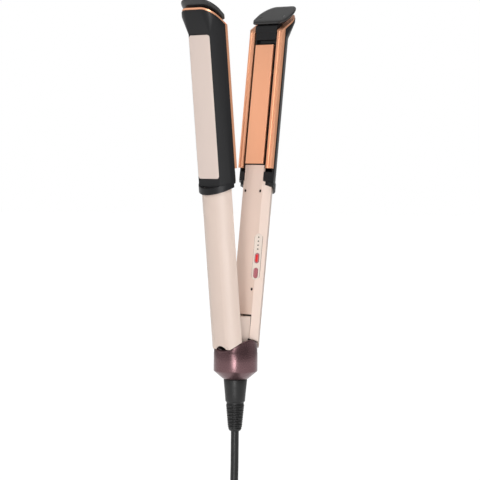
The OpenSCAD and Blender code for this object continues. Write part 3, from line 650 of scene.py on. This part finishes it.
def tip_ring(inset):
    """Outline of the tip in (x, y), set in by inset, from the inner edge round the outer end."""
    x1 = TIP_REACH - TIP_CORNER
    r = TIP_CORNER - inset
    half = []
    for k in range(5):
        half.append((TIP_INNER_X + inset, (TIP_INNER_HALF - inset / 2) * k / 4))
    for k in range(1, 4):
        t = k / 4
        half.append((TIP_INNER_X + inset + t * (TIP_SHOULDER - TIP_INNER_X - inset),
                     TIP_INNER_HALF - inset / 2 + t * (TIP_HALF - TIP_INNER_HALF - inset / 2)))
    for k in range(21):
        a = math.pi / 2 * (1 - k / 20)
        half.append((x1 + r * math.cos(a), TIP_HALF - TIP_CORNER + r * math.sin(a)))
    return half + [(x, -y) for x, y in reversed(half[1:])]


def make_cap(side):
    """Cap with a flat slanted top, a rounded edge and a wall that tapers in below it."""
    rows = [(7, 0), (3, 0), (1.0, 0), (0.55, -0.08), (0.25, -0.3), (0.15, -0.7), (0.25, -1.2), (0.7, -1.8),
            (1.5, -2.5), (2.4, -3.0), (3.4, -3.2)]
    verts = []
    for inset, down in rows:
        for x, y in tip_ring(inset * MM):
            verts.append((x, y, TIP_Z + x * math.tan(TIP_SLOPE) + down * MM / math.cos(TIP_SLOPE)))
    sides = len(verts) // len(rows)
    faces = rings_to_faces(len(rows), sides)
    body = SIDE_NAMES[side] + "_arm"
    cap = add_mesh(SIDE_NAMES[side] + "_cap_plate", verts, faces, body, CAP_PLASTIC,
                   side_matrix(side))
    x0, x1, half, low = 0.5 * MM, 7 * MM, 12 * MM, 261.5 * MM
    step_z, step_in = 267.5 * MM, 0.8 * MM

    def top(x):
        return TIP_Z + x * math.tan(TIP_SLOPE) - 2.9 * MM / math.cos(TIP_SLOPE)

    levels = [(x0 + step_in, half - step_in, low), (x0 + step_in, half - step_in, step_z),
              (x0, half, step_z + 0.3 * MM), (x0, half, None)]
    block = []
    for left, wide, z in levels:
        for x, y in ((left, -wide), (x1, -wide), (x1, wide), (left, wide)):
            block.append((x, y, top(x) if z is None else z))
    stem = add_mesh(SIDE_NAMES[side] + "_tip_block", block, rings_to_faces(len(levels), 4), body,
                    BLACK_PLASTIC, side_matrix(side))
    bevel(stem, 0.3 * MM, 3)
    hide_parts(SIDE_NAMES[side] + "_tip_cap")


# Controls
BUTTON_W, BUTTON_LEN = 3.6 * MM, 8.2 * MM
BUTTON_PROUD = 0.75 * MM
HEAT_Z, POWER_Z = 72.2 * MM, 84.2 * MM
PANEL_Z0, PANEL_Z1 = 66.6 * MM, 104 * MM


def make_button(name, node, body, z, lens=None):
    """Button with a rounded rim round a dished face, and a lens let into it where one is lit."""
    layers = []
    for inset, x in ((0, -2.4 * MM), (0, BUTTON_PROUD - 0.35 * MM), (0.1, BUTTON_PROUD - 0.1 * MM),
                     (0.3, BUTTON_PROUD), (0.55, BUTTON_PROUD), (0.75, BUTTON_PROUD - 0.12 * MM),
                     (1.2, BUTTON_PROUD - 0.2 * MM)):
        i = inset * MM
        layers.append((BUTTON_W - 2 * i, z - BUTTON_LEN / 2 + i, z + BUTTON_LEN / 2 - i, x))
    verts, faces = pill_stack(layers)
    button = add_mesh(name, verts, faces, body, ROSE, corner_matrix())
    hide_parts(node)
    if lens is None:
        return
    layers = []
    for inset, x in ((0.7, BUTTON_PROUD - 0.5 * MM), (0.72, BUTTON_PROUD - 0.16 * MM),
                     (0.95, BUTTON_PROUD - 0.04 * MM), (1.3, BUTTON_PROUD), (1.6, BUTTON_PROUD)):
        i = inset * MM
        layers.append((BUTTON_W - 2 * i, z - BUTTON_LEN / 2 + i * 1.4, z + BUTTON_LEN / 2 - i * 1.4, x))
    verts, faces = pill_stack(layers)
    add_mesh(name + "_lens", verts, faces, body, lens, corner_matrix())


def make_panel_gap():
    """Dark ring round the control panel: painted shade for the shadow in the gap round it."""
    z0, z1 = PANEL_Z0, PANEL_Z1
    wide, step = 0.25 * MM, 0.04 * MM
    rings = [(PANEL_W + step, step / 2, -0.8 * MM), (PANEL_W + step, step / 2, 0.08 * MM),
             (PANEL_W + 2 * wide, wide, 0.02 * MM), (PANEL_W + 2 * wide, wide, -0.8 * MM)]
    verts = []
    for w, grow, x in rings:
        verts += [(x, y, z) for y, z in pill_ring(w, z0 - grow, z1 + grow)]
    sides = len(verts) // len(rings)
    add_mesh("panel_gap_shade", verts, rings_to_faces(len(rings), sides, closed_ends=False), "right_arm", GAP_SHADE,
             corner_matrix())


make_collar()
make_relief()
make_panel_gap()
for side in SIDE_NAMES:
    make_back_panel(side)
    make_screws(side)
    make_cap(side)
make_button("power_key", "power_button", "power_button", POWER_Z, lens=RED)
make_button("heat_key", "heat_button", "heat_button", HEAT_Z)


# Stage: floor, world and lamps
FLOOR_HALF = 30
FLOOR_GAP = 0.5 * MM
FLOOR_GREY = 0.93
FLOOR_ROUGH = 0.9
FLOOR_GLOW = 1.15
FLOOR_GLOW_SHARE = 0.88


def stage_material():
    """Floor that shows white to the camera and in reflections, by a glow too bright for a shadow to show."""
    mat = bpy.data.materials.new("stage_white")
    mat.use_nodes = True
    nodes, links = mat.node_tree.nodes, mat.node_tree.links
    shader = nodes["Principled BSDF"]
    shader.inputs["Base Color"].default_value = (*grey(FLOOR_GREY), 1)
    shader.inputs["Roughness"].default_value = FLOOR_ROUGH
    glow = nodes.new("ShaderNodeEmission")
    glow.inputs["Strength"].default_value = FLOOR_GLOW
    path = nodes.new("ShaderNodeLightPath")
    seen = nodes.new("ShaderNodeMath")
    seen.operation = "MAXIMUM"
    links.new(path.outputs["Is Camera Ray"], seen.inputs[0])
    links.new(path.outputs["Is Glossy Ray"], seen.inputs[1])
    part = nodes.new("ShaderNodeMath")
    part.operation = "MULTIPLY"
    part.inputs[1].default_value = FLOOR_GLOW_SHARE
    links.new(seen.outputs[0], part.inputs[0])
    mix = nodes.new("ShaderNodeMixShader")
    links.new(part.outputs[0], mix.inputs["Fac"])
    links.new(shader.outputs[0], mix.inputs[1])
    links.new(glow.outputs[0], mix.inputs[2])
    links.new(mix.outputs[0], nodes["Material Output"].inputs["Surface"])
    return mat


def make_floor():
    z = CAD_BOX[0][2] - FLOOR_GAP
    corners = [(-1, -1), (1, -1), (1, 1), (-1, 1)]
    mesh = bpy.data.meshes.new("floor")
    mesh.from_pydata([(x * FLOOR_HALF, y * FLOOR_HALF, z) for x, y in corners], [], [(0, 1, 2, 3)])
    floor = bpy.data.objects.new("floor", mesh)
    mesh.materials.append(stage_material())
    bpy.context.scene.collection.objects.link(floor)


# World light: the way to its dark side, its strength away from there and there, and where one turns
# into the other
DARK_SIDE = (-0.42, -0.90, 0.10)
OPEN_STRENGTH = 0.44
DARK_STRENGTH = 0.12
DARK_START = 0.20
DARK_FULL = 0.92


def make_world():
    """White to the eye. As a light it is even all round but for the dark side of the studio."""
    world = bpy.data.worlds.new("studio")
    bpy.context.scene.world = world
    world.use_nodes = True
    nodes, links = world.node_tree.nodes, world.node_tree.links
    light = nodes["Background"]
    light.inputs["Color"].default_value = (1, 1, 1, 1)
    place = nodes.new("ShaderNodeTexCoord")
    front = nodes.new("ShaderNodeVectorMath")
    front.operation = "DOT_PRODUCT"
    front.inputs[1].default_value = DARK_SIDE
    links.new(place.outputs["Generated"], front.inputs[0])
    span = nodes.new("ShaderNodeMapRange")
    span.interpolation_type = "SMOOTHSTEP"
    span.inputs["From Min"].default_value = DARK_START
    span.inputs["From Max"].default_value = DARK_FULL
    span.inputs["To Min"].default_value = OPEN_STRENGTH
    span.inputs["To Max"].default_value = DARK_STRENGTH
    links.new(front.outputs["Value"], span.inputs["Value"])
    links.new(span.outputs["Result"], light.inputs["Strength"])
    shown = nodes.new("ShaderNodeBackground")
    shown.inputs["Color"].default_value = (1, 1, 1, 1)
    shown.inputs["Strength"].default_value = 1.0
    path = nodes.new("ShaderNodeLightPath")
    mix = nodes.new("ShaderNodeMixShader")
    links.new(path.outputs["Is Camera Ray"], mix.inputs["Fac"])
    links.new(light.outputs[0], mix.inputs[1])
    links.new(shown.outputs[0], mix.inputs[2])
    links.new(mix.outputs[0], nodes["World Output"].inputs["Surface"])


def lamp(name, azimuth, elevation, distance, size, power, height=0.1, shines=True, lights=True):
    """Area lamp facing the z axis at a height. Angles are the camera's kind.

    shines off keeps it out of reflections, lights off leaves it in reflections alone.
    """
    a, e = math.radians(azimuth), math.radians(elevation)
    back = Vector((math.sin(a) * math.cos(e), -math.cos(a) * math.cos(e), math.sin(e)))
    data = bpy.data.lights.new(name, "AREA")
    data.shape = "RECTANGLE"
    data.size, data.size_y = size
    data.energy = power
    obj = bpy.data.objects.new(name, data)
    obj.rotation_mode = "QUATERNION"
    obj.rotation_quaternion = (-back).to_track_quat("-Z", "Y")
    obj.location = Vector((0, 0, height)) + back * distance
    obj.visible_glossy = shines
    obj.visible_diffuse = lights
    bpy.context.scene.collection.objects.link(obj)


make_floor()
make_world()
lamp("key", azimuth=-60, elevation=9, distance=1.4, size=(0.26, 1.3), power=4.6)
lamp("side", azimuth=2, elevation=8, distance=1.5, size=(0.5, 1.3), power=2.4, shines=False)
lamp("fill", azimuth=-52, elevation=4, distance=1.5, size=(0.9, 1.2), power=6.4, shines=False)
lamp("gloss", azimuth=-51, elevation=0, distance=1.4, size=(0.20, 0.42), power=4.2, height=-0.13,
     lights=False)
lamp("copper", azimuth=-136, elevation=4, distance=1.2, size=(0.5, 0.22), power=0.4, height=0.34)
lamp("top", azimuth=-46, elevation=75, distance=1.3, size=(0.8, 0.8), power=3)
lamp("back", azimuth=130, elevation=15, distance=1.4, size=(0.6, 1.2), power=3)

bpy.context.scene.view_settings.view_transform = "Standard"
